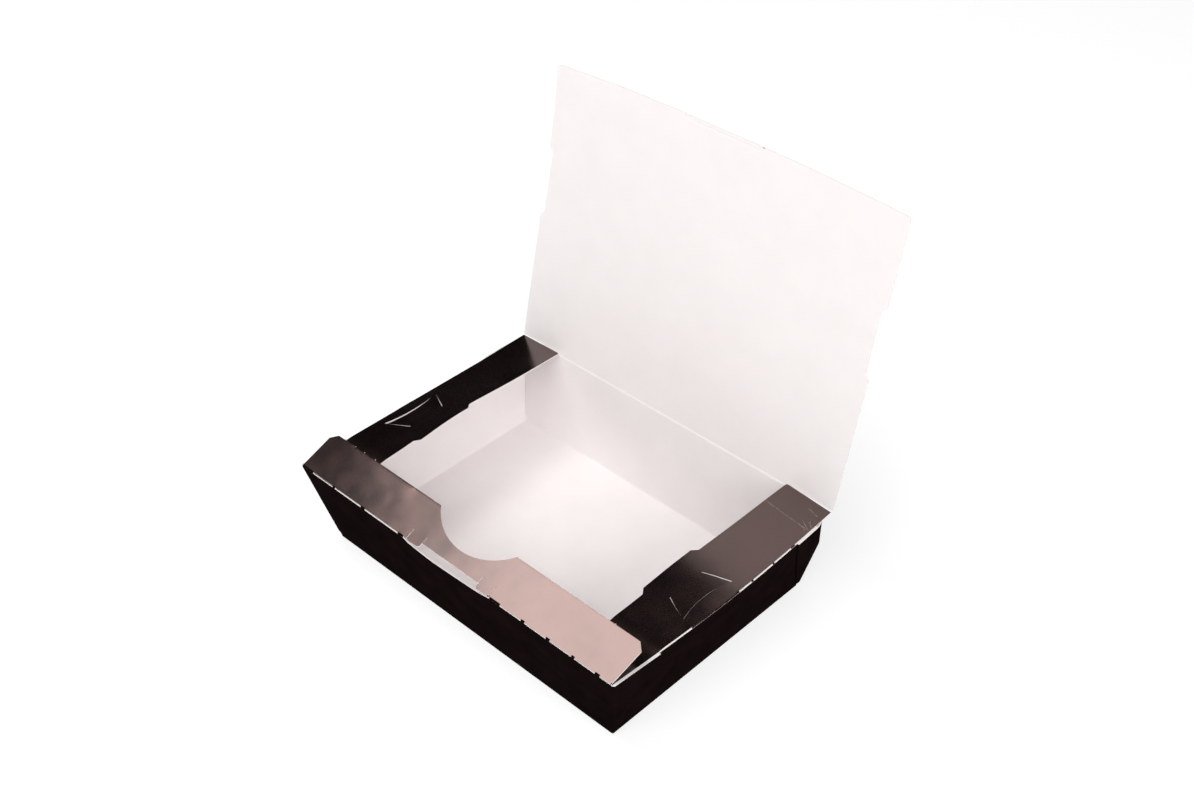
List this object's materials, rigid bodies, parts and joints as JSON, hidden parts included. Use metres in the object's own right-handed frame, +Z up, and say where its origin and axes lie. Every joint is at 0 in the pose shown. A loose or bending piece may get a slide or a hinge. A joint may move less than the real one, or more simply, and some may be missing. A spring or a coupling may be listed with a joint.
{
  "type": "takeaway box",
  "caption": "Takeaway box folded from varnished board: flared tray with corner webs and side flaps, notched front flap with a slot, and a hinged lid with a tuck tab.",
  "frame": {"origin": "middle of the underside of the floor", "axes": "+X along the front, to the right of someone facing the front flap; +Y from the front to the lid's crease; +Z up"},
  "size_m": [0.218, 0.2019, 0.2012],
  "materials": {
    "black_board": "gloss varnish over black print",
    "white_board": "smooth uncoated white"
  },
  "bodies": {
    "tray": {"tray": "black_board"},
    "front_flap": {"front_flap": "black_board"},
    "lid": {"lid": "white_board"},
    "tuck_tab": {"tuck_tab": "black_board"}
  },
  "joints": [
    {"name": "lid_hinge", "type": "hinge", "parent": "tray", "child": "lid", "pos_m": [0, 0.0772, 0.04827], "axis": [1, 0, 0], "range_deg": [-86.35, 99.45]},
    {"name": "front_flap_hinge", "type": "hinge", "parent": "tray", "child": "front_flap", "pos_m": [0, -0.0772, 0.04827], "axis": [1, 0, 0], "range_deg": [-21.8, 227.7]},
    {"name": "tab_hinge", "type": "hinge", "parent": "lid", "child": "tuck_tab", "pos_m": [0, 0.11427, 0.20094], "axis": [1, 0, 0], "range_deg": [-15, 220.5]}
  ]
}
